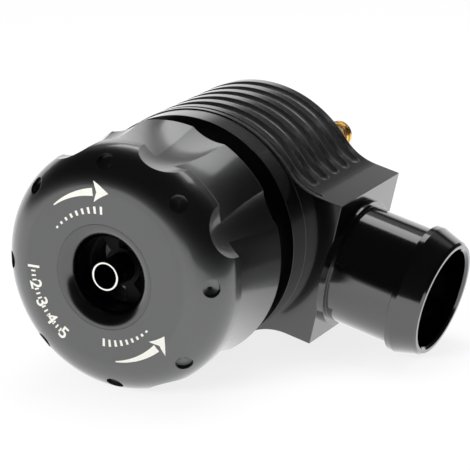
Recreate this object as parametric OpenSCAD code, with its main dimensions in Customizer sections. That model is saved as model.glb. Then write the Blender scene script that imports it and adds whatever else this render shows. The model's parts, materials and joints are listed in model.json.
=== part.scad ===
// Blow off valve with a hand-turned spring adjuster, a side outlet and a rear inlet.
// The pieces are drawn on the valve's own axis, with height 0 at the rear face of the
// body and the knob at the top, and placed() lays the finished valve on its side.

/* [Body] */
// Radius of the ribbed body
body_r = 24.5; // [23.5:0.1:27]
// Length of the ribbed body along the axis
body_h = 27; // [26.5:0.1:32]
// Number of grip grooves round the body
groove_count = 5; // [2:1:5]
// Distance between grooves
groove_pitch = 4.7; // [3.6:0.1:5]
// Height of the rearmost groove
groove_first = 3.3; // [2.6:0.1:4]
// Radius of the ball cutter that made the grooves
groove_ball_r = 1.4; // [1:0.1:1.7]
// Depth of the grooves
groove_depth = 1; // [0.5:0.1:1.3]
// Angle that a groove follows the arm's blend before it runs out
groove_run = 22; // [10:1:30]
// Extra radius where the cutter dwells at a groove's end
groove_dwell = 0.06; // [0.04:0.01:0.12]
// Chamfer on the body's two outlines
edge_chamfer = 0.4; // [0.2:0.1:0.8]
// Width of the narrow lip in front of the fine line
lip_w = 1.4; // [1:0.1:2]
// Radius of the ball cutter that made the fine line behind the lip
lip_line_r = 0.4; // [0.3:0.05:0.6]
// Depth of the fine line
lip_line_depth = 0.3; // [0.2:0.05:0.3]
// Radius of the smooth collar
collar_r = 24.3; // [22.5:0.1:25]
// Length of the smooth collar
collar_h = 5.2; // [4:0.1:7]
// Radius of the neck that carries the knob
neck_r = 20.2; // [20:0.1:20.6]
// Thickness of the wall behind the valve chamber
rear_wall = 6; // [5:0.1:7]

/* [Arm] */
// Distance from the axis to the arm's end face
arm_len = 29.5; // [27:0.1:36]
// Half height of the arm
arm_half = 15.5; // [14:0.1:17]
// Radius of the hollow blend between body and arm
arm_blend_r = 12; // [8:0.5:14]
// Height of the outlet's axis above the rear face
outlet_h = 16; // [14:0.1:16.5]
// Height of the outlet port's flat top above that axis
port_rise = 5; // [3:0.1:6]

/* [Spouts] */
// Outside radius of the hose tube
spout_r = 12.5; // [11.8:0.1:13]
// Length of a spout from its seat
spout_len = 21.7; // [19:0.1:30]
// Radius of the hose bead
bead_r = 13.6; // [13.2:0.1:14.2]
// Distance from the seat to the bead's step
bead_at = 15.5; // [12:0.1:17]
// Width of the bead's flat crown
bead_land = 1.2; // [0.8:0.1:1.6]
// Outside radius at the mouth
mouth_r = 12.2; // [11.6:0.1:12.4]
// Chamfer at the mouth, inside and outside
mouth_chamfer = 0.5; // [0.2:0.1:0.8]
// Radius of the flange that seats on the body
flange_r = 13.6; // [13.4:0.1:14.4]
// Thickness of the flange
flange_t = 1.5; // [1:0.1:2.5]
// Bore radius of the outlet at its mouth
outlet_bore_r = 10.5; // [9.5:0.1:11]
// Bore radius inside the outlet's screwed end
outlet_neck_r = 7; // [6:0.1:7.2]
// Radius of the outlet's screwed end
outlet_screw_r = 8.6; // [8.2:0.1:8.8]
// Depth of the outlet's screwed end in the arm
outlet_screw_len = 10; // [7:0.1:11]
// Bore radius of the inlet
inlet_bore_r = 10; // [9:0.1:10.4]
// Bore radius at the valve seat
inlet_seat_r = 9.6; // [8.8:0.1:9.8]
// Depth of the step in front of the valve seat, inside the body
inlet_step = 2.4; // [1.5:0.1:3]
// Radius of the inlet's screwed end
inlet_screw_r = 11.6; // [11.3:0.1:11.7]
// Height of the valve seat's lip above the chamber floor
seat_lip = 0.6; // [0.3:0.1:1]
// Cord radius of the spouts' sealing rings
spout_ring_r = 0.6; // [0.5:0.05:0.65]

/* [Vacuum nipple] */
// Distance of the nipple from the valve's axis
nipple_at = 19.4; // [18.8:0.1:20]
// Direction of the nipple round the axis, from the arm
nipple_angle = 54; // [45:1:60]
// Width across the flats of its hexagon
nipple_hex = 6.5; // [6:0.1:7]
// Height of the hexagon
nipple_hex_h = 2.7; // [2:0.1:5]
// Length of the stem above the hexagon
nipple_stem_len = 5.2; // [5:0.1:16]
// Radius of the stem
nipple_stem_r = 2; // [1.7:0.1:2.3]
// Radius of the barbs
nipple_barb_r = 2.9; // [2.5:0.1:3.2]
// Radius of the screwed end
nipple_screw_r = 2.4; // [2:0.1:2.5]
// Depth of the screwed end
nipple_screw_len = 5.5; // [4:0.1:7]
// Radius of the vacuum passage
passage_r = 1.2; // [0.8:0.1:1.3]
// Radius of the slanted hole from that passage to the spring chamber
link_r = 0.75; // [0.5:0.05:0.75]
// Thickness of the sealing washer under the hexagon
washer_t = 0.8; // [0.5:0.1:1.5]

/* [Knob] */
// Radius of the knob
knob_r = 25; // [24.6:0.1:28]
// Length of the knob
knob_len = 26; // [24:0.1:32]
// Radius of the rounded shoulder
shoulder_r = 8; // [6.5:0.1:9]
// Smallest radius of the hollowed side
waist_r = 23.4; // [23.3:0.1:24]
// Distance from the knob's back to its waist
waist_at = 14.2; // [12:0.1:15]
// Flat land on the shoulder's edge
edge_land = 1.8; // [0.4:0.1:2.4]
// Number of lobes round the knob
lobe_count = 8; // [6:1:9]
// Direction of the first lobe, from the arm
lobe_angle = 14.6; // [0:0.1:44]
// Radius of the dimple on each lobe
dimple_r = 1.75; // [1.2:0.05:2]
// Depth of the dimples
dimple_depth = 1.1; // [0.6:0.1:1.6]
// Depth of the drill point under the dimples
dimple_tip = 0.5; // [0.2:0.1:0.8]
// Radius of the finger scallops across the knob
scallop_r = 12; // [9:0.5:15]
// Radius of the finger scallops along the knob
scallop_bow_r = 65; // [50:1:90]
// Distance of the scallops' floor from the axis
scallop_floor = 23; // [22.7:0.1:23.2]
// Distance from the knob's back to the scallops' deepest point
scallop_at = 11.5; // [10:0.1:13]
// Thickness of the knob's front wall
roof_t = 7; // [6:0.1:8]

/* [Trumpet] */
// Radius of the trumpet at the front face
rim_r = 10.6; // [10.2:0.1:11.5]
// Radius of the throat
throat_r = 7.5; // [7:0.1:8.6]
// Length of the trumpet insert
horn_len = 13; // [12.6:0.1:14]
// Depth of the spider below the front face
spider_depth = 7; // [5:0.1:7.2]
// Thickness of the spider
spider_t = 3; // [2:0.1:3.5]
// Number of windows in the spider
window_count = 4; // [3:1:5]
// Angle that a window opens
window_angle = 58; // [30:1:62]
// Width of the spider's web between the windows and the throat
window_web = 0.5; // [0.3:0.1:0.8]
// Width of the web between the windows and the centre post
post_web = 1; // [0.6:0.1:1.4]
// Radius of the centre post
post_r = 2.9; // [2.6:0.1:3.2]
// Bore radius of the centre post
post_bore_r = 2.5; // [1.8:0.1:2.5]
// Distance of the post's end behind the front face
post_back = 0.55; // [0.3:0.05:2]

/* [Adjustment] */
// Gap between collar and knob as set
set_gap = 6.8; // [6.6:0.1:9]
// Travel of the knob towards the body
travel_in = 6; // [3:0.1:6.2]
// Travel of the knob away from the body
travel_out = 1; // [0.5:0.1:2]

/* [Valve train] */
// Radius of the piston's bore
piston_bore_r = 14.5; // [14:0.1:15]
// Length of the piston
piston_len = 18.5; // [17:0.1:18.7]
// Thickness of the piston's floor
piston_floor = 4; // [3:0.1:6]
// Inside radius of the piston
piston_cup_r = 11.5; // [11:0.1:12]
// Opening stroke of the piston
stroke = 6; // [4:0.1:6.2]
// Thickness of the rubber valve disc
disc_t = 2; // [1.5:0.1:3]
// Radius of the rubber valve disc
disc_r = 13; // [12.6:0.1:13.6]
// Radius of the plate that clamps the disc
plate_r = 7.5; // [6:0.1:8.5]
// Thickness of the plate
plate_t = 1.2; // [0.8:0.1:2]
// Radius of the clamping screw's shank
screw_r = 2; // [1.5:0.1:2.5]
// Radius of the clamping screw's head
screw_head_r = 3.6; // [3:0.1:4.5]
// Height of the clamping screw's head
screw_head_h = 2.2; // [1.5:0.1:3]
// Length of the clamping screw's shank
screw_len = 6; // [5:0.1:7]
// Width of a piston ring
ring_w = 1.6; // [1.2:0.1:2]
// Radial thickness of a piston ring
ring_t = 1.3; // [1:0.1:1.8]
// Distance of the front ring from the piston's front edge
ring_back = 2; // [1.4:0.1:2.4]
// Distance between the two rings
ring_pitch = 3; // [2.4:0.1:3.2]

/* [Spring and seat] */
// Radius of the bore that the spring seat slides in
seat_bore_r = 18; // [17.6:0.1:18.2]
// Thickness of the spring seat's flange
seat_t = 5.8; // [5:0.1:6]
// Radius of the spring seat's pressure boss
boss_r = 10.4; // [9.8:0.1:11]
// Radius of the boss seen through the trumpet
nose_r = 5; // [3.5:0.1:6]
// Height of that boss above the thrust washer
nose_h = 2.5; // [1:0.1:3]
// Height of the boss that centres the spring
centring_h = 3; // [2:0.1:4]
// Cord radius of the seat's sealing ring
seat_ring_r = 1; // [0.8:0.05:1.2]
// Thickness of the thrust washer
thrust_t = 0.8; // [0.5:0.1:1.2]
// Thickness of the snap ring
snap_t = 1; // [0.8:0.1:1.4]
// Radial width of the snap ring
snap_w = 2.2; // [1.8:0.1:3]
// Depth of the snap ring in its groove
snap_grip = 0.8; // [0.5:0.1:0.9]
// Opening between the snap ring's ends
snap_mouth = 5; // [3:0.5:10]
// Wall in front of the snap ring
snap_lip = 1.2; // [0.8:0.1:1.6]
// Cord radius of the knob's drag ring
drag_ring_r = 0.6; // [0.4:0.05:0.65]
// Mean radius of the spring
spring_r = 9.6; // [9.4:0.1:9.8]
// Radius of the spring's wire
wire_r = 0.8; // [0.6:0.05:1]
// Turns of the spring
spring_turns = 6.5; // [5:0.5:8]
// Thickness of the shim under the spring
shim_t = 0.6; // [0.4:0.1:1]

/* [Clearances] */
// Running clearance of sliding and turning fits
running = 0.05; // [0.03:0.01:0.08]
// Clearance of pieces screwed or pushed together
seated = 0.02; // [0.01:0.01:0.04]
// Free gap at a stop
stop_gap = 0.4; // [0.3:0.05:0.6]
// Room left round a sealing ring in its groove
ring_room = 0.1; // [0.05:0.05:0.2]

/* [Hidden] */

$fn = 96;
past = 1;
edge_overlap = 1;

// Heights along the axis
collar_top = body_h + collar_h;
knob_back = collar_top + set_gap;
face_h = knob_back + knob_len;
roof_h = face_h - roof_t;
neck_top = roof_h - travel_in - stop_gap;
snap_h = neck_top - snap_lip - snap_t;
seat_top = snap_h - travel_out - stop_gap;
seat_bottom = seat_top - seat_t;
tail_h = face_h - horn_len;
thrust_h = tail_h - running - thrust_t;
disc_h = rear_wall + seat_lip + running;
piston_h = disc_h + disc_t;
piston_top = piston_h + piston_len;
cup_h = piston_h + piston_floor;
shim_h = cup_h + running;
spring_bottom = shim_h + shim_t + running;
spring_top = seat_bottom - running;

// The hollow blend is a circle that touches the body's circle and the arm's flat side
blend_v = arm_half + arm_blend_r;
blend_u = sqrt(pow(body_r + arm_blend_r, 2) - pow(blend_v, 2));
blend_angle = atan2(blend_v, blend_u);
groove_offset = groove_ball_r - groove_depth;

// Hollow side of the knob: one arc from its back edge through its waist
waist_arc_r = (pow(waist_at, 2) + pow(knob_r - waist_r, 2)) / (2 * (knob_r - waist_r));
shoulder_h = knob_len - shoulder_r;
lobe_step = 360 / lobe_count;

// Lying on its side, the valve rests on the knob and on the outlet's bead or mouth
function dip(reach, r) = asin(knob_r / norm([reach, r])) - atan2(r, reach);
rest_tilt = min(
    dip(arm_len + bead_at + bead_land, bead_r),
    dip(arm_len + spout_len, mouth_r)
);

anodised = [0.07, 0.07, 0.08];
satin_black = [0.16, 0.16, 0.17];
bare_metal = [0.78, 0.78, 0.76];
steel = [0.62, 0.63, 0.65];
brass = [0.78, 0.6, 0.28];
rubber = [0.05, 0.05, 0.05];
ptfe = [0.86, 0.85, 0.8];

// Shared shapes

module placed() {
    rotate([0, rest_tilt, 0]) rotate([90, 0, 0]) children();
}

module at_height(h) {
    translate([0, 0, h]) children();
}

module tube(r_out, r_in, h) {
    rotate_extrude() translate([r_in, 0]) square([r_out - r_in, h]);
}

module o_ring(centre_r, cord_r) {
    rotate_extrude() translate([centre_r, 0]) circle(cord_r);
}

module at_outlet() {
    translate([arm_len, 0, outlet_h]) rotate([0, 90, 0]) children();
}

module at_nipple() {
    rotate([0, 0, nipple_angle]) translate([nipple_at, 0, 0]) mirror([0, 0, 1]) children();
}

// Body, arm and the hollow blends between them, seen along the axis
module body_outline() {
    touch = body_r / (body_r + arm_blend_r);
    circle(body_r);
    translate([0, -arm_half]) square([arm_len, 2 * arm_half]);
    for (side = [-1, 1]) difference() {
        polygon([
            [0, 0], [touch * blend_u, side * touch * blend_v],
            [blend_u, side * blend_v], [blend_u, 0]
        ]);
        translate([blend_u, side * blend_v]) circle(arm_blend_r);
    }
}

// Carries a flat section along the body's outline, x outwards and y along the axis,
// and on round the first part of both blends; with an overlap, the blends' sweeps pass
// their ends, where they lie clear of the body
module along_outline(blend_run, overlap = 0) {
    rotate([0, 0, blend_angle]) rotate_extrude(angle = 360 - 2 * blend_angle)
        translate([body_r, 0]) children();
    for (side = [0, 1]) mirror([0, side, 0]) translate([blend_u, blend_v, 0])
        rotate([0, 0, 180 + blend_angle - overlap]) rotate_extrude(angle = blend_run + 2 * overlap)
            translate([arm_blend_r, 0]) mirror([1, 0]) children();
}

// Path of a ball cutter along the outline: the ball covers each change of curve, and
// it cuts a little wider where the path ends
module ball_cut(ball_r, offset, run) {
    along_outline(run) translate([offset, 0]) circle(ball_r);
    for (side = [0, 1]) mirror([0, side, 0]) {
        rotate([0, 0, blend_angle]) translate([body_r + offset, 0, 0])
            sphere(ball_r + groove_dwell / 3);
        translate([blend_u, blend_v, 0]) rotate([0, 0, 180 + blend_angle + run])
            translate([arm_blend_r - offset, 0, 0]) sphere(ball_r + groove_dwell);
    }
}

module edge_cut() {
    along_outline(90 - blend_angle, edge_overlap) edge_section();
    for (side = [0, 1]) mirror([0, side, 0]) translate([blend_u, arm_half, 0])
        rotate([90, 0, 90]) linear_extrude(arm_len - blend_u + past) edge_section();
}

module edge_section() {
    polygon([[-edge_chamfer, 0], [0, -edge_chamfer], [past, -edge_chamfer], [past, 0]]);
}

// Turned hose spout, seat face at 0 and mouth at the top
module spout(bore_r, neck_bore_r, taper_h, screw_end_r, screw_end_len) {
    taper_top = taper_h + bore_r - neck_bore_r;
    difference() {
        rotate_extrude() polygon([
            [0, -screw_end_len], [screw_end_r, -screw_end_len], [screw_end_r, 0],
            [flange_r, 0], [flange_r, flange_t], [spout_r, flange_t],
            [spout_r, bead_at], [bead_r, bead_at], [bead_r, bead_at + bead_land],
            [mouth_r, spout_len - mouth_chamfer], [mouth_r - mouth_chamfer, spout_len],
            [0, spout_len]
        ]);
        rotate_extrude() polygon([
            [0, -screw_end_len - past], [neck_bore_r, -screw_end_len - past],
            [neck_bore_r, taper_h], [bore_r, taper_top],
            [bore_r, spout_len - mouth_chamfer],
            [bore_r + mouth_chamfer + past, spout_len + past], [0, spout_len + past]
        ]);
    }
}

// Groove for a sealing ring in a flat face at 0, opening upwards
module face_groove(inner_r) {
    width = 2 * (spout_ring_r + ring_room);
    at_height(-2 * spout_ring_r) tube(inner_r + width, inner_r, 2 * spout_ring_r + past);
}

module spout_seal(inner_r) {
    at_height(-spout_ring_r) o_ring(inner_r + spout_ring_r + ring_room, spout_ring_r);
}

// Helical wire with flattened end turns
function coil_rise(t) = let (flat = 0.14)
    t < flat ? 0.2 * t
    : t > 1 - flat ? 1 - 0.2 * (1 - t)
    : 0.2 * flat + (t - flat) * (1 - 0.4 * flat) / (1 - 2 * flat);

module coil(r, cord_r, turns, length) {
    sides = 10;
    steps = ceil(turns * 28);
    points = [for (i = [0:steps], k = [0:sides - 1])
        let (a = 360 * turns * i / steps, b = 360 * k / sides, reach = r + cord_r * cos(b))
        [reach * cos(a), reach * sin(a),
         cord_r + coil_rise(i / steps) * (length - 2 * cord_r) + cord_r * sin(b)]];
    sleeve = [for (i = [0:steps - 1], k = [0:sides - 1])
        let (p = i * sides + k, q = i * sides + (k + 1) % sides)
        [p, p + sides, q + sides, q]];
    end_cap = [for (k = [0:sides - 1]) steps * sides + sides - 1 - k];
    polyhedron(points, concat(sleeve, [[for (k = [0:sides - 1]) k], end_cap]), convexity = 10);
}

// Fixed pieces

module housing() {
    color(anodised) placed() difference() {
        union() {
            linear_extrude(body_h) body_outline();
            cylinder(r = collar_r, h = collar_top);
            cylinder(r = neck_r, h = neck_top);
        }
        for (i = [0:groove_count - 1]) at_height(groove_first + i * groove_pitch)
            ball_cut(groove_ball_r, groove_offset, groove_run);
        at_height(body_h - lip_w)
            ball_cut(lip_line_r, lip_line_r - lip_line_depth, 90 - blend_angle);
        at_height(body_h) edge_cut();
        mirror([0, 0, 1]) edge_cut();
        housing_bores();
        vacuum_passage();
        at_outlet() face_groove(outlet_screw_r + ring_room);
        mirror([0, 0, 1]) face_groove(inlet_screw_r + ring_room);
    }
}

module housing_bores() {
    port_top = outlet_h + port_rise;
    at_height(-past) cylinder(r = inlet_screw_r + seated, h = rear_wall + 2 * past);
    at_height(rear_wall) cylinder(r = piston_bore_r, h = collar_top - rear_wall + past);
    at_height(collar_top) cylinder(r = seat_bore_r, h = neck_top - collar_top + past);
    at_height(snap_h - running)
        cylinder(r = seat_bore_r + snap_grip + ring_room, h = snap_t + 2 * running);
    at_outlet() at_height(-outlet_screw_len - running)
        cylinder(r = outlet_screw_r + seated, h = outlet_screw_len + running + past);
    intersection() {
        at_outlet() at_height(-arm_len) cylinder(r = outlet_screw_r, h = arm_len);
        at_height(rear_wall) linear_extrude(port_top - rear_wall)
            translate([0, -arm_half]) square([arm_len, 2 * arm_half]);
    }
}

// Drilled from the nipple's port along the wall, then inwards to the spring chamber
module vacuum_passage() {
    bend_h = body_h - past;
    drop = nipple_at - seat_bore_r + passage_r;
    rise = collar_top + passage_r - bend_h;
    at_nipple() mirror([0, 0, 1]) {
        at_height(-past) cylinder(r = nipple_screw_r + seated, h = nipple_screw_len + past + running);
        cylinder(r = passage_r, h = bend_h + passage_r);
        at_height(bend_h) rotate([0, -atan2(drop, rise), 0])
            cylinder(r = link_r, h = norm([drop, rise]));
    }
}

module outlet_spout() {
    color(anodised) placed() at_outlet()
        spout(outlet_bore_r, outlet_neck_r, flange_t, outlet_screw_r, outlet_screw_len);
}

module outlet_o_ring() {
    color(rubber) placed() at_outlet() spout_seal(outlet_screw_r + ring_room);
}

module inlet_spout() {
    color(anodised) placed() mirror([0, 0, 1])
        spout(inlet_bore_r, inlet_seat_r, -inlet_step, inlet_screw_r, rear_wall + seat_lip);
}

module inlet_o_ring() {
    color(rubber) placed() mirror([0, 0, 1]) spout_seal(inlet_screw_r + ring_room);
}

module vacuum_nipple() {
    barb_len = nipple_stem_len / 3;
    barb_land = 0.4 * barb_len;
    hex_r = nipple_hex / (2 * cos(30));
    stem_h = washer_t + nipple_hex_h;
    color(brass) placed() at_nipple() difference() {
        union() {
            at_height(-nipple_screw_len) cylinder(r = nipple_screw_r, h = nipple_screw_len + washer_t);
            at_height(washer_t) cylinder(r = hex_r, h = nipple_hex_h, $fn = 6);
            at_height(stem_h) cylinder(r = nipple_stem_r, h = nipple_stem_len);
            for (i = [1, 2]) at_height(stem_h + i * barb_len) {
                cylinder(r = nipple_barb_r, h = barb_land);
                at_height(barb_land)
                    cylinder(r1 = nipple_barb_r, r2 = nipple_stem_r, h = barb_len - barb_land);
            }
        }
        at_height(-nipple_screw_len - past)
            cylinder(r = passage_r, h = nipple_screw_len + stem_h + nipple_stem_len + 2 * past);
    }
}

module nipple_washer() {
    color(ptfe) placed() at_nipple() tube(nipple_hex / 2, nipple_screw_r + seated, washer_t);
}

module seat_snap_ring() {
    outer_r = seat_bore_r + snap_grip;
    color(steel) placed() at_height(snap_h) difference() {
        tube(outer_r, outer_r - snap_w, snap_t);
        translate([0, -snap_mouth / 2, -past])
            cube([outer_r + past, snap_mouth, snap_t + 2 * past]);
    }
}

// Pieces that turn with the knob

module adjuster_knob() {
    color(satin_black) placed() at_height(knob_back) difference() {
        rotate_extrude() knob_section();
        for (i = [0:lobe_count - 1]) rotate([0, 0, lobe_angle + i * lobe_step]) {
            translate([knob_r - shoulder_r, 0, shoulder_h]) rotate([0, 45, 0]) dimple();
            rotate([0, 0, lobe_step / 2]) finger_scallop();
        }
        at_height(-past) cylinder(r = neck_r + running, h = roof_h - knob_back + past);
        cylinder(r = rim_r + seated, h = knob_len + past);
        at_height(drag_at()) tube(drag_groove_r(), neck_r, 2 * (drag_ring_r + ring_room));
    }
}

function drag_groove_r() = neck_r + running + 2 * drag_ring_r + ring_room / 2;
function drag_at() = 3 * drag_ring_r;

module knob_section() {
    difference() {
        union() {
            square([knob_r - shoulder_r, knob_len]);
            square([knob_r, shoulder_h]);
            translate([knob_r - shoulder_r, shoulder_h]) circle(shoulder_r);
        }
        intersection() {
            translate([waist_r + waist_arc_r, waist_at]) circle(waist_arc_r, $fn = 360);
            square([knob_r + past, shoulder_h - edge_land]);
        }
    }
}

module dimple() {
    at_height(shoulder_r - dimple_depth) cylinder(r = dimple_r, h = dimple_depth + past);
    at_height(shoulder_r - dimple_depth - dimple_tip)
        cylinder(r1 = 0, r2 = dimple_r, h = dimple_tip);
}

// Barrel-shaped cutter, hollow along the knob and across it
module finger_scallop() {
    half_len = knob_len / 2 + past;
    translate([scallop_floor + scallop_r, 0, scallop_at]) rotate_extrude() intersection() {
        translate([scallop_r - scallop_bow_r, 0]) circle(scallop_bow_r, $fn = 360);
        translate([0, -half_len]) square([scallop_r, 2 * half_len]);
    }
}

module trumpet_insert() {
    lip = rim_r - throat_r;
    window_in = post_r + post_web;
    window_out = throat_r - window_web;
    spider_h = face_h - spider_depth - spider_t;
    color(anodised) placed() difference() {
        union() {
            at_height(tail_h) rotate_extrude()
                translate([throat_r, 0]) square([lip, horn_len - lip]);
            at_height(face_h - lip) rotate_extrude() intersection() {
                translate([rim_r, 0]) circle(lip);
                translate([throat_r, 0]) square([lip, lip]);
            }
            at_height(spider_h) cylinder(r = throat_r, h = spider_t);
            at_height(spider_h) cylinder(r = post_r, h = spider_t + spider_depth - post_back);
        }
        at_height(spider_h + spider_t / 2) cylinder(r = post_bore_r, h = spider_depth + spider_t);
        for (i = [0:window_count - 1])
            rotate([0, 0, lobe_angle - lobe_step / 2 - window_angle / 2 + i * 360 / window_count])
                at_height(spider_h - past) rotate_extrude(angle = window_angle)
                    translate([window_in, 0]) square([window_out - window_in, spider_t + 2 * past]);
    }
}

module knob_drag_ring() {
    color(rubber) placed() at_height(knob_back + drag_at() + drag_ring_r + ring_room)
        o_ring(neck_r + running + drag_ring_r, drag_ring_r);
}

// Pieces that slide with the spring seat

module spring_seat() {
    groove_depth_r = 2 * seat_ring_r + ring_room;
    groove_w = 2 * (seat_ring_r + ring_room);
    color(bare_metal) placed() difference() {
        union() {
            at_height(seat_bottom) cylinder(r = seat_bore_r - running, h = seat_t);
            at_height(seat_bottom - centring_h)
                cylinder(r = spring_r - wire_r - stop_gap, h = centring_h);
            at_height(seat_top) cylinder(r = boss_r, h = thrust_h - seat_top);
            at_height(thrust_h) cylinder(r = nose_r, h = thrust_t + nose_h);
        }
        at_height(seat_bottom + seat_t / 2 - groove_w / 2)
            tube(seat_bore_r + past, seat_bore_r - running - groove_depth_r, groove_w);
    }
}

module seat_o_ring() {
    color(rubber) placed() at_height(seat_bottom + seat_t / 2)
        o_ring(seat_bore_r - running / 2 - seat_ring_r, seat_ring_r);
}

module thrust_washer() {
    color(ptfe) placed() at_height(thrust_h) tube(boss_r, nose_r + stop_gap, thrust_t);
}

// Pieces that slide with the piston

module piston() {
    outer_r = piston_bore_r - running;
    color(bare_metal) placed() difference() {
        at_height(piston_h) cylinder(r = outer_r, h = piston_len);
        at_height(cup_h) cylinder(r = piston_cup_r, h = piston_len);
        for (back = [ring_back, ring_back + ring_pitch])
            at_height(piston_top - back - ring_w / 2 - running)
                tube(outer_r + past, outer_r - ring_t - ring_room, ring_w + 2 * running);
        at_height(piston_h - past) cylinder(r = screw_r + seated, h = piston_floor + 2 * past);
    }
}

module piston_ring(back) {
    color(ptfe) placed() at_height(piston_top - back - ring_w / 2)
        tube(piston_bore_r - running / 2, piston_bore_r - running - ring_t, ring_w);
}

module front_piston_ring() {
    piston_ring(ring_back);
}

module rear_piston_ring() {
    piston_ring(ring_back + ring_pitch);
}

module valve_disc() {
    color(rubber) placed() at_height(disc_h) tube(disc_r, screw_r + seated, disc_t);
}

module disc_plate() {
    color(steel) placed() at_height(disc_h - plate_t) tube(plate_r, screw_r + seated, plate_t);
}

module disc_screw() {
    socket_r = screw_head_r / 2;
    head_h = disc_h - plate_t - screw_head_h;
    color(steel) placed() difference() {
        union() {
            at_height(head_h) cylinder(r = screw_head_r, h = screw_head_h);
            at_height(head_h) cylinder(r = screw_r, h = screw_head_h + plate_t + screw_len);
        }
        at_height(head_h - past) cylinder(r = socket_r, h = past + screw_head_h / 2, $fn = 6);
    }
}

module spring_shim() {
    color(steel) placed() at_height(shim_h)
        tube(piston_cup_r - stop_gap, spring_r - wire_r - stop_gap, shim_t);
}

module valve_spring() {
    color(steel) placed() at_height(spring_bottom)
        coil(spring_r, wire_r, spring_turns, spring_top - spring_bottom);
}

housing();
outlet_spout();
outlet_o_ring();
inlet_spout();
inlet_o_ring();
vacuum_nipple();
nipple_washer();
seat_snap_ring();
adjuster_knob();
trumpet_insert();
knob_drag_ring();
spring_seat();
seat_o_ring();
thrust_washer();
piston();
front_piston_ring();
rear_piston_ring();
valve_disc();
disc_plate();
disc_screw();
spring_shim();
valve_spring();
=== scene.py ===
"""Looks of a blow off valve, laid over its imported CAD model.

Lengths in the meshes and materials are millimetres in the valve's own space: u runs out of the
outlet arm, v across it, h along the valve's axis from the body's rear face to the knob.
"""

import json
import bpy
import numpy as np
from bpy.props import FloatProperty, FloatVectorProperty, IntProperty, PointerProperty
from mathutils import Matrix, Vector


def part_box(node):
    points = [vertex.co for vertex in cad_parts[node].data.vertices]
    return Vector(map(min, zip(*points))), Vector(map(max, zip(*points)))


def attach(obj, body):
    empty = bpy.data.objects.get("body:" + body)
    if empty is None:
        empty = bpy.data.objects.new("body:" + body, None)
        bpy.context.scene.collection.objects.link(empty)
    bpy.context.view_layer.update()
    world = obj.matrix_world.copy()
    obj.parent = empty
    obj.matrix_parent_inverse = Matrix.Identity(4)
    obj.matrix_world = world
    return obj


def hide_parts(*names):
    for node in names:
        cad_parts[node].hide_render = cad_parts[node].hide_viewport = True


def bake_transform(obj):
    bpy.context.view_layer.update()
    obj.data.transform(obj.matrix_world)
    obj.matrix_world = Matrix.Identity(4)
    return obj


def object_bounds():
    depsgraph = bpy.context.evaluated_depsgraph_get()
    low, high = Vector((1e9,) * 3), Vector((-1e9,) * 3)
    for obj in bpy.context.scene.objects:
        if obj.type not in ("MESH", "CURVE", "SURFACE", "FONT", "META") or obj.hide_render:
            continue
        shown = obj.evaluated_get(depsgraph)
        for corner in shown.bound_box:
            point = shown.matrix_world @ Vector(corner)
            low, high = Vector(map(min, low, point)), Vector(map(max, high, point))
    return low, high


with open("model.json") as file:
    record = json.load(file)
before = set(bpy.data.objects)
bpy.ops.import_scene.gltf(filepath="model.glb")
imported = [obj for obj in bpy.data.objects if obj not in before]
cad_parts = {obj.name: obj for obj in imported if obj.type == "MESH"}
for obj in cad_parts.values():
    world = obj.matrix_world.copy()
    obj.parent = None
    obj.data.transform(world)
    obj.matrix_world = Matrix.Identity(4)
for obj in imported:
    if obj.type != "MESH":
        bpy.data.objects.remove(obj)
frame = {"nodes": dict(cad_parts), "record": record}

bl_info = {
    "name": "Blow off valve looks",
    "version": (1, 0, 0),
    "blender": (4, 5, 0),
    "location": "View3D > Sidebar > Valve",
    "description": "Finishes, face marks, spring and studio for a blow off valve",
    "category": "Object",
}

MM = 0.001
CAD_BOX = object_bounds()
NODES = frame["nodes"]
MOUNTS = {mount["name"]: mount for mount in frame["record"]["mounts"]}
ARM_X, _, ARM_Z = MOUNTS["outlet"]["axis"]
FACE_H = -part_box("adjuster_knob")[0].y / MM
FLOOR_Z = CAD_BOX[0].z

# Heights and radii at which the CAD pieces change their finish
LIP_H = 27.5
COLLAR_H = (32.21, 32.25)
NECK_R = 20.4
FLAT_H = (FACE_H - 0.12, FACE_H - 0.02)
# Heights over which the trumpet's throat turns dull and darkens with painted shade
SHADED_THROAT_H = (FACE_H - 4, FACE_H - 2)
POST_H = (FACE_H - 0.62, FACE_H - 0.56)
POST_R = 2.95

# Colours of the bare metals
ALUMINIUM = (0.82, 0.82, 0.8)
BLASTED_ALUMINIUM = (0.9, 0.9, 0.88)
TURNED_RING = (0.9, 0.89, 0.85)
BRASS = (0.86, 0.62, 0.24)
STEEL = (0.6, 0.61, 0.62)
STEEL_ROUGHNESS = 0.28

# Arrowheads on the knob's face: tip, notch and two barbs, each a radius and an angle in degrees
ARROWHEADS = [
    ((17.0, 98), (17.0, 107), [(19.2, 109), (15.0, 110)]),
    ((16.6, -23), (17.1, -31), [(15.2, -36), (19.3, -33)]),
]

# Their tails: radius, and the angles at the thin and the wide end
TAILS = [(17.0, 143, 110), (17.1, -69, -34)]
TAIL_HALF = 0.8

# Ramps of ticks beside the arrows: the angles at the short and the tall end
RAMPS = [(153, 104), (-32, -78)]
RAMP_R = 13.4
RAMP_TALLEST = 1.6
RAMP_HALF_ANGLE = 1.1

# The numbered scale: its first and last angle, and the parts that ticks make of each step
SCALE_ENDS = (-166, -113)
SCALE_R = 16.2
SCALE_PARTS = 4
SCALE_HALF = 0.5
SCALE_HALF_ANGLE = 0.6

# A numeral's height as a share of the font's size, and the widening of strokes for its height
CAP_SHARE = 0.7
BOLD = 0.025

# Facets round the spring's wire and along a turn, and how fast its flat end turns climb
WIRE_SIDES = 16
TURN_STEPS = 48
END_CLIMB = 0.2


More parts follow.
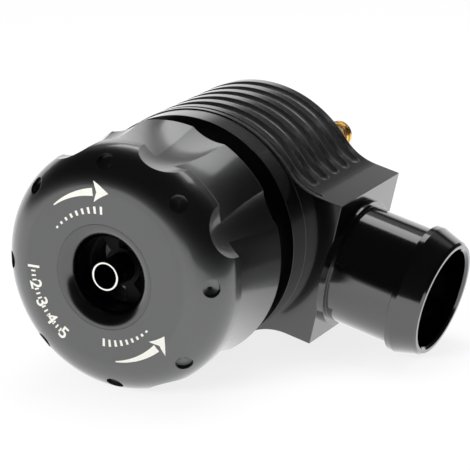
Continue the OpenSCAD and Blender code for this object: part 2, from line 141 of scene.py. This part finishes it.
class KnobLook(bpy.types.PropertyGroup):
    """Finish of the blasted knob."""

    colour: FloatVectorProperty(
        name="Colour", description="Reflection colour of the dyed metal",
        subtype="COLOR", default=(0.105, 0.106, 0.108), min=0, max=1)
    roughness: FloatProperty(
        name="Roughness", description="Spread of reflections on the blasted surface",
        subtype="FACTOR", default=0.33, min=0, max=1)
    skin: FloatProperty(
        name="Skin roughness", description="Spread of reflections on the clear oxide skin",
        subtype="FACTOR", default=0.12, min=0, max=1)
    grain: FloatProperty(
        name="Grain", description="Size of the grains that blasting leaves",
        unit="LENGTH", default=0.00022, min=0.00005, max=0.002)
    face_radius: FloatProperty(
        name="Face radius", description="Radius of the flat front face",
        unit="LENGTH", default=0.017, min=0.01, max=0.024)
    shoulder: FloatProperty(
        name="Shoulder", description="Radius of the rounding round the face",
        unit="LENGTH", default=0.008, min=0.002, max=0.012)


class BodyLook(bpy.types.PropertyGroup):
    """Finish of the black pieces with a polished skin."""

    colour: FloatVectorProperty(
        name="Colour", description="Reflection colour of the dyed metal",
        subtype="COLOR", default=(0.074, 0.074, 0.077), min=0, max=1)
    roughness: FloatProperty(
        name="Body roughness", description="Spread of reflections on the ribbed body",
        subtype="FACTOR", default=0.24, min=0, max=1)
    spout_roughness: FloatProperty(
        name="Spout roughness", description="Spread of reflections on the spouts",
        subtype="FACTOR", default=0.14, min=0, max=1)
    trumpet_roughness: FloatProperty(
        name="Trumpet roughness", description="Spread of reflections on the trumpet's rim",
        subtype="FACTOR", default=0.24, min=0, max=1)
    skin: FloatProperty(
        name="Skin roughness", description="Spread of reflections on the clear oxide skin",
        subtype="FACTOR", default=0.08, min=0, max=1)
    trumpet_skin: FloatProperty(
        name="Trumpet skin roughness", description="Spread of reflections on the trumpet's skin",
        subtype="FACTOR", default=0.15, min=0, max=1)
    # The paler colour on the groove walls is a painted highlight for their bright streaks
    cut_gain: FloatProperty(
        name="Cut gain", description="How much paler the cut walls of the grooves are",
        default=4.0, min=1, max=8)
    edge: FloatProperty(
        name="Edge", description="Rounding that light finds on the edges",
        unit="LENGTH", default=0.00025, min=0, max=0.001)
    thread_pitch: FloatProperty(
        name="Thread pitch", description="Distance between the neck's thread crests",
        unit="LENGTH", default=0.0015, min=0.0005, max=0.004)


class MarkLook(bpy.types.PropertyGroup):
    """Printed marks on the knob's face."""

    colour: FloatVectorProperty(
        name="Colour", description="Colour of the print",
        subtype="COLOR", default=(0.78, 0.77, 0.71), min=0, max=1)
    proud: FloatProperty(
        name="Proud", description="Height of the print above the metal",
        unit="LENGTH", default=0.00003, min=0.00001, max=0.0002)
    numeral: FloatProperty(
        name="Numeral", description="Height of the numerals",
        unit="LENGTH", default=0.0026, min=0.001, max=0.004)
    ramp_ticks: IntProperty(
        name="Ramp ticks", description="Ticks in each ramp beside an arrow",
        default=9, min=3, max=20)
    scale_steps: IntProperty(
        name="Scale steps", description="Numerals on the scale", default=5, min=2, max=9)


class SpringLook(bpy.types.PropertyGroup):
    """Sizes of the valve's coil spring."""

    radius: FloatProperty(
        name="Radius", description="Radius of the coil at the middle of the wire",
        unit="LENGTH", default=0.0096, min=0.0094, max=0.0098)
    wire: FloatProperty(
        name="Wire", description="Radius of the wire",
        unit="LENGTH", default=0.0008, min=0.0006, max=0.001)
    turns: FloatProperty(
        name="Turns", description="Turns from end to end", default=6.5, min=5, max=8)
    flat: FloatProperty(
        name="Flat share", description="Share of the turns that lie flat at each end",
        subtype="FACTOR", default=0.14, min=0.05, max=0.3)


class StageLook(bpy.types.PropertyGroup):
    """Floor and camera."""

    floor: FloatVectorProperty(
        name="Floor", description="Colour of the floor", subtype="COLOR",
        default=(0.88, 0.88, 0.88), min=0, max=1)
    floor_size: FloatProperty(
        name="Floor size", description="Half the width of the floor",
        unit="LENGTH", default=4, min=1)
    glow: FloatProperty(
        name="Floor glow", description="White that the floor shows the camera by itself",
        subtype="FACTOR", default=0.8, min=0, max=1)
    shadow: FloatProperty(
        name="Floor shadow", description="Share of the floor's colour that takes the shadow",
        subtype="FACTOR", default=0.26, min=0, max=1)
    azimuth: FloatProperty(
        name="Azimuth", description="Camera's direction round the valve", subtype="ANGLE",
        default=np.radians(29.27))
    elevation: FloatProperty(
        name="Elevation", description="Camera's height over the valve", subtype="ANGLE",
        default=np.radians(17.118))
    roll: FloatProperty(
        name="Roll", description="Camera's turn about its line of sight", subtype="ANGLE",
        default=np.radians(-1.889))
    position: FloatVectorProperty(
        name="Position", description="Where the camera stands", subtype="TRANSLATION",
        default=(0.23269, -0.42785, 0.14016))
    lens: FloatProperty(
        name="Lens", description="Focal length on a 36 mm sensor", unit="CAMERA", default=180.05)


class Wire:
    """A socket in a node tree. Arithmetic on wires adds Math nodes."""

    def __init__(self, tree, socket):
        self.tree = tree
        self.socket = socket

    def other(self, name):
        """Another output of the same node."""
        return Wire(self.tree, self.socket.node.outputs[name])

    def math(self, operation, *values):
        """A Math node on wires and numbers."""
        return self.tree.node("ShaderNodeMath", {"operation": operation}, dict(enumerate(values)))

    def swing(self, size):
        """A wave from 0 to 1 as a swing of that size about nought."""
        return self * size - size / 2

    def __add__(self, value):
        return self.math("ADD", self, value)

    def __sub__(self, value):
        return self.math("SUBTRACT", self, value)

    def __rsub__(self, value):
        return self.math("SUBTRACT", value, self)

    def __mul__(self, value):
        return self.math("MULTIPLY", self, value)

    def __truediv__(self, value):
        return self.math("DIVIDE", self, value)

    def __rtruediv__(self, value):
        return self.math("DIVIDE", value, self)

    def __pow__(self, value):
        return self.math("POWER", self, value)

    def __lt__(self, value):
        return self.math("LESS_THAN", self, value)

    def __gt__(self, value):
        return self.math("GREATER_THAN", self, value)

    __radd__ = __add__
    __rmul__ = __mul__


class Tree:
    """A node tree that is built one node at a time."""

    def __init__(self, tree):
        self.tree = tree
        tree.nodes.clear()

    def node(self, kind, settings=None, inputs=None, output=0):
        """Adds a node, sets its settings, then fills or links its sockets."""
        made = self.tree.nodes.new(kind)
        for name, value in (settings or {}).items():
            setattr(made, name, value)
        for name, value in (inputs or {}).items():
            if isinstance(value, Wire):
                self.tree.links.new(value.socket, made.inputs[name])
            else:
                made.inputs[name].default_value = value
        return Wire(self, made.outputs[output]) if made.outputs else None

    def smooth(self, value, low, high):
        """0 below low, 1 above high, and an S-curve between them."""
        return self.node("ShaderNodeMapRange", {"interpolation_type": "SMOOTHSTEP"},
                         {"Value": value, "From Min": low, "From Max": high})

    def mix(self, factor, first, second):
        """Colour that goes from first to second with factor."""
        inputs = {0: factor, 6: first, 7: second}
        return self.node("ShaderNodeMix", {"data_type": "RGBA"}, inputs, output=2)

    def clouded(self, wave, colour, low, high):
        """A colour that a wave takes from low to high times itself."""
        return self.mix(wave, shade(low, colour), shade(high, colour))

    def noise(self, size, detail=2.0, stretch=None):
        """Noise of that grain size in metres, stretched along the axes where asked."""
        spot = self.spot("Object")
        if stretch:
            spot = self.node("ShaderNodeMapping", {}, {"Vector": spot, "Scale": stretch})
        inputs = {"Vector": spot, "Scale": 1 / size, "Detail": detail}
        return self.node("ShaderNodeTexNoise", {}, inputs)

    def spot(self, kind):
        """One of the coordinates that a shader can read."""
        return self.node("ShaderNodeTexCoord", output=kind)

    def xyz(self, vector):
        """The three parts of a vector."""
        x = self.node("ShaderNodeSeparateXYZ", {}, {"Vector": vector})
        return x, x.other("Y"), x.other("Z")

    def radius_and_height(self):
        """Distance from the valve's axis and height along it, in millimetres."""
        x, y, z = self.xyz(self.spot("Object"))
        return (x * x + z * z) ** 0.5 / MM, y / -MM


def rgba(colour):
    """A colour with full cover."""
    return (*colour, 1.0)


def shade(share, colour):
    """A colour made lighter or darker by a share."""
    return rgba([min(1.0, share * part) for part in colour])


def material(name, build, *values):
    """Makes a material whose shader comes from build(tree, *values)."""
    made = bpy.data.materials.new(name)
    made.use_nodes = True
    tree = Tree(made.node_tree)
    tree.node("ShaderNodeOutputMaterial", {}, {"Surface": build(tree, *values)})
    return made


def principled(tree, colour, roughness, relief, metallic=1.0, **others):
    """The surface shader, with an underscore for the space in another socket's name."""
    inputs = {"Base Color": colour, "Roughness": roughness, "Metallic": metallic, "Normal": relief}
    inputs.update({name.replace("_", " "): value for name, value in others.items()})
    return tree.node("ShaderNodeBsdfPrincipled", {}, inputs)


def bump(tree, height, depth, edge=0.0):
    """Bump of that depth in metres over normals that are rounded at the edges."""
    inputs = {"Height": height, "Distance": depth, "Strength": 1.0}
    if edge:
        inputs["Normal"] = tree.node("ShaderNodeBevel", {"samples": 8}, {"Radius": edge})
    return tree.node("ShaderNodeBump", {}, inputs)


def blasted_black(tree, knob, body):
    """Dyed metal with a blasted skin: fine grain, a drier flat face and faint clouds."""
    _, height = tree.radius_and_height()
    grain = tree.noise(knob.grain, detail=3.0)
    cloud = tree.noise(size=0.014)
    face = tree.smooth(height, *FLAT_H)
    colour = tree.clouded(cloud, knob.colour, 0.93, 1.07)
    roughness = grain.swing(0.12) + face * 0.1 + knob.roughness
    relief = bump(tree, grain, depth=0.00002, edge=body.edge)
    return principled(tree, colour, roughness, relief, Coat_Weight=1.0, Coat_Roughness=knob.skin)


def polished_black(tree, body):
    """Dyed metal with a bright skin, drier where the cutter ran in the grooves, painted paler
    there as a painted highlight for the bright streaks on those walls.

    A cut wall is one that leans along the axis; the neck before the collar carries a fine thread.
    """
    radius, height = tree.radius_and_height()
    _, along, _ = tree.xyz(tree.spot("Normal"))
    lean = along.math("ABSOLUTE", along)
    # Walls that lean along the axis: a rougher cut finish, and a painted highlight in their colour
    cut_and_sheen = tree.smooth(lean, 0.15, 0.5) * (1 - tree.smooth(lean, 0.93, 0.99)) * (height < LIP_H)
    lines = tree.noise(size=0.0004, stretch=(0.02, 1.0, 0.02))
    cloud = tree.noise(size=0.02)
    neck = tree.smooth(height, *COLLAR_H) * (radius < NECK_R)
    crest = height.math("SINE", height * (2 * np.pi * MM / body.thread_pitch))
    dyed = tree.clouded(cloud, body.colour, 0.9, 1.1)
    # Painted highlight: the leaning walls take a colour several times paler than the dyed metal
    colour = tree.mix(cut_and_sheen, dyed, shade(body.cut_gain, body.colour))
    roughness = lines.swing(0.05) + cloud.swing(0.04) + neck * 0.15 + cut_and_sheen * 0.3 + body.roughness
    relief = bump(tree, lines * 0.04 + neck * crest, depth=0.00006, edge=body.edge)
    return principled(tree, colour, roughness, relief, Coat_Weight=1.0, Coat_Roughness=body.skin)


def spout_black(tree, body):
    """Dyed metal turned to a bright finish, with a faint fine grain."""
    grain = tree.noise(size=0.0005)
    cloud = tree.noise(size=0.03)
    colour = tree.clouded(cloud, body.colour, 0.9, 1.1)
    roughness = grain.swing(0.03) + cloud.swing(0.03) + body.spout_roughness
    relief = bump(tree, grain, depth=0.000003, edge=body.edge)
    return principled(tree, colour, roughness, relief, Coat_Weight=1.0, Coat_Roughness=body.skin)


def trumpet_black(tree, body):
    """Dyed metal, dull and darkened by painted shade inside, with a bare turned ring on the post's
    end.
    """
    radius, height = tree.radius_and_height()
    bare = (radius < POST_R) * tree.smooth(height, *POST_H)
    # The throat below the face: a duller skin, and painted shade in its colour
    dull_shaded_throat = 1 - tree.smooth(height, *SHADED_THROAT_H)
    grain = tree.noise(size=0.0004)
    # Down the throat the colour falls to a fifth: painted shade for the recess
    dyed = tree.mix(dull_shaded_throat, rgba(body.colour), shade(0.2, body.colour))
    colour = tree.mix(bare, dyed, rgba(TURNED_RING))
    roughness = grain.swing(0.04) + dull_shaded_throat * 0.25 + body.trumpet_roughness
    relief = bump(tree, grain, depth=0.000003, edge=body.edge)
    skinned = (1 - dull_shaded_throat) * (1 - bare)
    return principled(tree, colour, roughness, relief,
                      Coat_Weight=skinned, Coat_Roughness=body.trumpet_skin)


def plain_metal(tree, colour, roughness, metallic=1.0):
    """Turned metal with fine lines round its axis and a little tarnish."""
    lines = tree.noise(size=0.0003, stretch=(0.05, 1.0, 0.05))
    tone = tree.clouded(tree.noise(size=0.006), colour, 0.85, 1.1)
    relief = bump(tree, lines, depth=0.000005)
    return principled(tree, tone, lines.swing(0.12) + roughness, relief, metallic)


def matte(tree, colour, roughness):
    """Rubber, plastic, cloth or print: no metal, with a fine uneven skin."""
    cloud = tree.noise(size=0.003, detail=4.0)
    tone = tree.clouded(cloud, colour, 0.9, 1.08)
    relief = bump(tree, cloud, depth=0.000008)
    return principled(tree, tone, cloud.swing(0.1) + roughness, relief, metallic=0.0)


def dress(finish, *nodes):
    """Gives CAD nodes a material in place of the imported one."""
    for name in nodes:
        slots = NODES[name].data.materials
        slots.clear()
        slots.append(finish)


def place(u, v, h):
    """Points of the valve's space, in millimetres, as metres in the shared frame.

    The arm's direction (ARM_X, 0, ARM_Z) carries u, its square partner carries v, and h runs
    along -Y.
    """
    return np.stack([u * ARM_X - v * ARM_Z, -h, u * ARM_Z + v * ARM_X], axis=-1) * MM


def add_object(name, points, faces, finish):
    """An object at the origin, made of those points and faces."""
    mesh = bpy.data.meshes.new(name)
    mesh.from_pydata(np.reshape(points, (-1, 3)).tolist(), [], faces)
    mesh.validate()
    mesh.materials.append(finish)
    made = bpy.data.objects.new(name, mesh)
    bpy.context.scene.collection.objects.link(made)
    return made


def joined(parts):
    """One mesh from several: points in a row, and faces that count on from part to part."""
    starts = np.cumsum([0, *(len(points) for points, _ in parts)])
    faces = [(face + start).tolist() for start, (_, more) in zip(starts, parts) for face in more]
    return np.concatenate([points for points, _ in parts]), faces


def grid_quads(rows, columns):
    """Corner numbers of the quads of a grid of points, row by row."""
    corner = np.arange((rows - 1) * columns).reshape(rows - 1, columns)[:, :-1].ravel()
    return np.stack([corner, corner + 1, corner + columns + 1, corner + columns], axis=1)


def rim_of_grid(rows, columns):
    """Point numbers round a grid's edge, in order."""
    index = np.arange(rows * columns).reshape(rows, columns)
    return np.concatenate([index[0, :-1], index[:-1, -1], index[-1, :0:-1], index[:0:-1, 0]])


def face_height(radius, knob):
    """Height of the knob's front: flat to the face radius, then a quarter circle falling away."""
    over = np.maximum(radius - knob.face_radius / MM, 0)
    round_r = knob.shoulder / MM
    return FACE_H - round_r + np.sqrt(round_r**2 - over**2)


def film(patch, knob, proud):
    """Points and faces of a closed thin slab that follows the knob's front.

    A patch is a grid of (radius, angle). Its upper side stands proud of the front and its lower
    side as far under it, and a band of quads joins their rims.
    """
    radius, angle = patch[..., 0], patch[..., 1]
    u, v, h = radius * np.cos(angle), radius * np.sin(angle), face_height(radius, knob)
    quads, rim = grid_quads(*radius.shape), rim_of_grid(*radius.shape)
    after, under = np.roll(rim, -1), radius.size
    sides = np.stack([after, rim, rim + under, after + under], axis=1)
    points = np.concatenate([place(u, v, h + proud), place(u, v, h - proud)]).reshape(-1, 3)
    return points, np.concatenate([quads, quads[:, ::-1] + under, sides])


def arrowhead(tip, notch, barbs, steps=10):
    """Two patches from the tip back to the notch and to each barb, as (radius, angle in degrees).

    Along s the patch leaves the tip, and across t it goes from the line to the notch to the line
    to the barb.
    """
    s, t = np.meshgrid(np.linspace(0.01, 1, steps), np.linspace(0, 1, steps), indexing="ij")
    tip, notch = np.array(tip), np.array(notch)
    halves = []
    for barb in np.array(barbs):
        reach = (1 - t)[..., None] * (notch - tip) + t[..., None] * (barb - tip)
        halves.append((tip + s[..., None] * reach) * (1, np.pi / 180))
    return halves


def band(middle, half, angles, rows=5):
    """Patch round one radius, whose half width may change along the angles, given in degrees."""
    t = np.linspace(0, 1, rows)[:, None]
    inner, outer, angles = np.broadcast_arrays(middle - half, middle + half, angles)
    radius = inner + t * (outer - inner)
    return np.stack([radius, np.broadcast_to(np.radians(angles), radius.shape)], axis=-1)


def tick(middle, half, angle, half_angle):
    """Patch of one tick: a short band about an angle."""
    return band(middle, half, angle + np.linspace(-half_angle, half_angle, 3))


def tail(radius, start, end, thinnest=0.15, steps=24):
    """Curved tail of an arrow: a band that widens from a thin start."""
    half = TAIL_HALF * np.linspace(thinnest, 1, steps)
    return band(radius, half, np.linspace(start, end, steps))


def ramp(start, end, count, shortest=0.25):
    """Row of ticks that grow from the start to the end of an arc."""
    share = np.linspace(0, 1, count)
    halves = RAMP_TALLEST * (shortest + (1 - shortest) * share) / 2
    angles = start + share * (end - start)
    return [tick(RAMP_R, half, angle, RAMP_HALF_ANGLE) for half, angle in zip(halves, angles)]


def scale_ticks(steps):
    """The ticks between the numerals of the scale."""
    angles = np.linspace(*SCALE_ENDS, (steps - 1) * SCALE_PARTS + 1)
    between = np.arange(len(angles)) % SCALE_PARTS > 0
    return [tick(SCALE_R, SCALE_HALF, angle, SCALE_HALF_ANGLE) for angle in angles[between]]


def numeral(text, height, depth, angle):
    """Points and faces of a flat numeral on the knob's face, its top towards the middle.

    With the angle a, its right is (-sin a, cos a) and its up is (-cos a, -sin a).
    """
    curve = bpy.data.curves.new("numeral", "FONT")
    curve.body, curve.size = text, height / CAP_SHARE
    curve.extrude, curve.offset = depth, height * BOLD
    curve.align_x = curve.align_y = "CENTER"
    carrier = bpy.data.objects.new("numeral", curve)
    mesh = bpy.data.meshes.new_from_object(carrier)
    flat = np.empty(len(mesh.vertices) * 3)
    mesh.vertices.foreach_get("co", flat)
    right, up, out = flat.reshape(-1, 3).T
    faces = [np.array(polygon.vertices) for polygon in mesh.polygons]
    bpy.data.objects.remove(carrier)
    bpy.data.meshes.remove(mesh)
    cos, sin = np.cos(angle), np.sin(angle)
    u = (SCALE_R - up) * cos - right * sin
    v = (SCALE_R - up) * sin + right * cos
    return place(u, v, FACE_H + out), faces


def coil(spring, start, end, bottom, top):
    """Points and faces of the coil from the share start to the share end of its turns.

    At the share t the wire's middle is at the angle 2 pi n t. Its height climbs by END_CLIMB
    times t over the flat ends and evenly between them. The section's point at the angle b lies
    r cos b further out and r sin b higher.
    """
    sides, steps = WIRE_SIDES, int(np.ceil(TURN_STEPS * spring.turns * (end - start))) + 1
    radius, wire, flat = spring.radius / MM, spring.wire / MM, spring.flat
    share = np.linspace(start, end, steps)[:, None]
    section = np.linspace(0, 2 * np.pi, sides, endpoint=False)
    climb = END_CLIMB * flat
    rise = np.interp(share, [0, flat, 1 - flat, 1], [0, climb, 1 - climb, 1])
    angle = 2 * np.pi * spring.turns * share
    reach = radius + wire * np.cos(section)
    height = bottom + wire + rise * (top - bottom - 2 * wire) + wire * np.sin(section)
    ring = sides * np.arange(steps - 1)[:, None]
    here, beside = ring + np.arange(sides), ring + np.roll(np.arange(sides), -1)
    sleeve = np.stack([beside, beside + sides, here + sides, here], axis=-1).reshape(-1, 4)
    caps = [list(range(sides))[::-1], list(range(sides * (steps - 1), sides * steps))]
    return place(reach * np.cos(angle), reach * np.sin(angle), height), sleeve.tolist() + caps


class VALVE_OT_black_pieces(bpy.types.Operator):
    """Finish the dyed metal pieces: knob, body, spouts and trumpet"""

    bl_idname = "valve.black_pieces"
    bl_label = "Black pieces"

    def execute(self, context):
        knob, body = context.scene.valve_knob, context.scene.valve_body
        dress(material("blasted_black", blasted_black, knob, body), "adjuster_knob")
        dress(material("polished_black", polished_black, body), "housing")
        dress(material("spout_black", spout_black, body), "outlet_spout", "inlet_spout")
        dress(material("trumpet_black", trumpet_black, body), "trumpet_insert")
        return {"FINISHED"}


class VALVE_OT_small_pieces(bpy.types.Operator):
    """Finish the bare metal, rubber and plastic pieces"""

    bl_idname = "valve.small_pieces"
    bl_label = "Small pieces"

    def execute(self, context):
        bare = material("bare_aluminium", plain_metal, ALUMINIUM, 0.34)
        blasted = material("blasted_aluminium", plain_metal, BLASTED_ALUMINIUM, 0.5, 0.2)
        steel = material("bright_steel", plain_metal, STEEL, STEEL_ROUGHNESS)
        brass = material("turned_brass", plain_metal, BRASS, 0.26)
        rubber = material("black_rubber", matte, (0.02, 0.02, 0.02), 0.6)
        plastic = material("white_plastic", matte, (0.84, 0.83, 0.8), 0.5)
        dress(bare, "piston")
        dress(blasted, "spring_seat")
        dress(steel, "seat_snap_ring", "disc_plate", "disc_screw", "spring_shim")
        dress(brass, "vacuum_nipple")
        dress(rubber, "outlet_o_ring", "inlet_o_ring", "seat_o_ring", "knob_drag_ring")
        dress(rubber, "valve_disc")
        dress(plastic, "nipple_washer", "thrust_washer", "front_piston_ring", "rear_piston_ring")
        return {"FINISHED"}


class VALVE_OT_spring(bpy.types.Operator):
    """Wind the spring in two stretches, rear and front, in place of the CAD spring"""

    bl_idname = "valve.spring"
    bl_label = "Spring"

    def execute(self, context):
        spring = context.scene.valve_spring
        low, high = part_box("valve_spring")
        steel = material("spring_steel", plain_metal, STEEL, STEEL_ROUGHNESS)
        stretches = [
            ("spring_rear", 0.0, 0.5, "piston", high[1] - 2 * spring.wire),
            ("spring_front", 0.5, 1.0, "seat", low[1] + 2 * spring.wire),
        ]
        for name, start, end, body, tip in stretches:
            points, faces = coil(spring, start, end, -high[1] / MM, -low[1] / MM)
            made = add_object(name, points, faces, steel)
            made.data.shade_smooth()
            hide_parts("valve_spring")
            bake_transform(made)
        return {"FINISHED"}


class VALVE_OT_face_marks(bpy.types.Operator):
    """Print two curved arrows, their ramps of ticks and a numbered scale on the knob's face"""

    bl_idname = "valve.face_marks"
    bl_label = "Face marks"

    def execute(self, context):
        knob, marks = context.scene.valve_knob, context.scene.valve_marks
        proud, tall = marks.proud / MM, marks.numeral / MM
        patches = [
            *(half for points in ARROWHEADS for half in arrowhead(*points)),
            *(tail(*arc) for arc in TAILS),
            *(mark for arc in RAMPS for mark in ramp(*arc, marks.ramp_ticks)),
            *scale_ticks(marks.scale_steps),
        ]
        parts = [film(patch, knob, proud) for patch in patches]
        angles = np.radians(np.linspace(*SCALE_ENDS, marks.scale_steps))
        parts += [numeral(str(step), tall, proud, angle) for step, angle in enumerate(angles, 1)]
        ink = material("print", matte, marks.colour, 0.55)
        made = add_object("face_marks", *joined(parts), ink)
        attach(made, "knob")
        return {"FINISHED"}


class VALVE_OT_stage(bpy.types.Operator):
    """Build the floor, the studio light and the camera"""

    bl_idname = "valve.stage"
    bl_label = "Stage"

    def execute(self, context):
        stage = context.scene.valve_stage
        self.floor(stage)
        self.flag()
        self.world(context.scene)
        self.lamps()
        self.camera(context.scene, stage)
        context.scene.view_settings.view_transform = "Standard"
        return {"FINISHED"}

    def floor(self, stage):
        """A square at the valve's lowest point; its own glow keeps it white in the picture."""
        half, z = stage.floor_size, FLOOR_Z
        corners = [(-half, -half, z), (half, -half, z), (half, half, z), (-half, half, z)]
        pale = material("pale_floor", self.floor_shader, stage)
        add_object("floor", corners, [(0, 1, 2, 3)], pale)

    def flag(self):
        """A dark screen beside the knob that shows in its side and nowhere else."""
        x, near, far, top = 0.16, -0.5, 0.5, 0.3
        corners = [(x, near, FLOOR_Z), (x, far, FLOOR_Z), (x, far, top), (x, near, top)]
        cloth = material("flag_cloth", matte, (0.01, 0.01, 0.01), 0.9)
        made = add_object("flag", corners, [(0, 1, 2, 3)], cloth)
        made.visible_camera = made.visible_diffuse = made.visible_shadow = False

    def floor_shader(self, tree, stage):
        """Matt to the light; to the camera, mirrors and glass, a glow that takes the shadow.

        The glow is full white to mirrors.
        """
        ray = tree.node("ShaderNodeLightPath")
        mirrored = ray.other("Is Glossy Ray")
        seen = (ray + mirrored + ray.other("Is Transmission Ray")) > 0.5
        level = mirrored * (1 - stage.glow) + stage.glow
        matt = tree.node("ShaderNodeBsdfDiffuse", {}, {"Color": rgba(stage.floor)})
        white = {"Color": rgba((1, 1, 1)), "Strength": level}
        glow = tree.node("ShaderNodeEmission", {}, white)
        dim = tree.node("ShaderNodeBsdfDiffuse", {}, {"Color": shade(stage.shadow, stage.floor)})
        both = tree.node("ShaderNodeAddShader", {}, {0: glow, 1: dim})
        return tree.node("ShaderNodeMixShader", {}, {0: seen, 1: matt, 2: both})

    def world(self, scene):
        """White to the camera, half as bright to matt surfaces.

        To mirrors, a white horizon that rises behind, under a dark ceiling with one pale strip.
        """
        ceiling, streak, fill = 0.02, 0.3, 0.5
        scene.world = bpy.data.worlds.new("studio")
        scene.world.use_nodes = True
        tree = Tree(scene.world.node_tree)
        _, y, z = tree.xyz(tree.spot("Generated"))
        horizon = tree.smooth(y, -0.1, 0.7) * 0.4
        backdrop = 1 - tree.smooth(z - horizon, -0.06, 0.1)
        across = tree.smooth(y, 0.3, 0.6) * (1 - tree.smooth(y, 0.8, 0.9))
        strip = across * tree.smooth(z, 0.5, 0.65)
        in_metal = backdrop * (1 - ceiling) + strip * streak + ceiling
        ray = tree.node("ShaderNodeLightPath")
        mirrored = ray.other("Is Glossy Ray")
        level = mirrored * in_metal + (1 - mirrored) * (ray * (1 - fill) + fill)
        white = {"Color": rgba((1, 1, 1)), "Strength": level}
        sky = tree.node("ShaderNodeBackground", {}, white)
        tree.node("ShaderNodeOutputWorld", {}, {"Surface": sky})

    def lamps(self):
        """Softboxes: name, place, aim, width, depth, power and whether metal mirrors them."""
        boxes = [
            ("top_box", (0.02, 0.1, 0.55), (0, 0, 0), 0.5, 0.3, 1.2, False),
            ("front_box", (-0.2, -0.7, 0.3), (0, -0.05, 0), 0.3, 0.3, 3.6, False),
            ("near_box", (-0.01, 0.05, 0.12), (-0.01, 0.05, 0), 0.15, 0.06, 0.055, True),
        ]
        for name, spot, aim, width, depth, power, mirrored in boxes:
            lamp = bpy.data.lights.new(name, "AREA")
            lamp.shape = "RECTANGLE"
            lamp.size, lamp.size_y, lamp.energy = width, depth, power
            made = bpy.data.objects.new(name, lamp)
            made.visible_glossy, made.visible_camera = mirrored, False
            bpy.context.scene.collection.objects.link(made)
            back = np.subtract(spot, aim) / np.linalg.norm(np.subtract(spot, aim))
            side = np.cross((0, 1, 0.001), back)
            side /= np.linalg.norm(side)
            made.matrix_world = pose(side, np.cross(back, side), back, spot)

    def camera(self, scene, stage):
        """A camera at its place, turned by azimuth and elevation, then rolled."""
        az, el, roll = stage.azimuth, stage.elevation, stage.roll
        back = np.array([np.sin(az) * np.cos(el), -np.cos(az) * np.cos(el), np.sin(el)])
        level = np.array([np.cos(az), np.sin(az), 0])
        upright = np.cross(back, level)
        right = np.cos(roll) * level + np.sin(roll) * upright
        data = bpy.data.cameras.new("camera")
        data.lens, data.sensor_width = stage.lens, 36
        made = bpy.data.objects.new("camera", data)
        scene.collection.objects.link(made)
        made.matrix_world = pose(right, np.cross(back, right), back, stage.position)
        scene.camera = made


def pose(x_axis, y_axis, z_axis, spot):
    """Matrix of an object with these axes at a spot."""
    made = np.eye(4)
    made[:3] = np.column_stack([x_axis, y_axis, z_axis, spot])
    return Matrix(made.tolist())


class VALVE_PT_looks(bpy.types.Panel):
    """Steps and sizes of the valve's looks"""

    bl_idname = "VALVE_PT_looks"
    bl_label = "Valve looks"
    bl_space_type = "VIEW_3D"
    bl_region_type = "UI"
    bl_category = "Valve"

    def draw(self, context):
        for step in STEPS:
            self.layout.operator(step.bl_idname)
        for name in LOOKS:
            group = getattr(context.scene, name)
            for setting in group.bl_rna.properties.keys():
                if setting not in ("rna_type", "name"):
                    self.layout.prop(group, setting)


STEPS = (
    VALVE_OT_black_pieces,
    VALVE_OT_small_pieces,
    VALVE_OT_spring,
    VALVE_OT_face_marks,
    VALVE_OT_stage,
)
LOOKS = {
    "valve_knob": KnobLook,
    "valve_body": BodyLook,
    "valve_marks": MarkLook,
    "valve_spring": SpringLook,
    "valve_stage": StageLook,
}


def register():
    for made in (*LOOKS.values(), *STEPS, VALVE_PT_looks):
        bpy.utils.register_class(made)
    for name, group in LOOKS.items():
        setattr(bpy.types.Scene, name, PointerProperty(type=group))


def unregister():
    for name in LOOKS:
        delattr(bpy.types.Scene, name)
    for made in reversed((*LOOKS.values(), *STEPS, VALVE_PT_looks)):
        bpy.utils.unregister_class(made)


def main():
    register()
    bpy.ops.valve.black_pieces()
    bpy.ops.valve.small_pieces()
    bpy.ops.valve.spring()
    bpy.ops.valve.face_marks()
    bpy.ops.valve.stage()


if __name__ == "__main__":
    main()
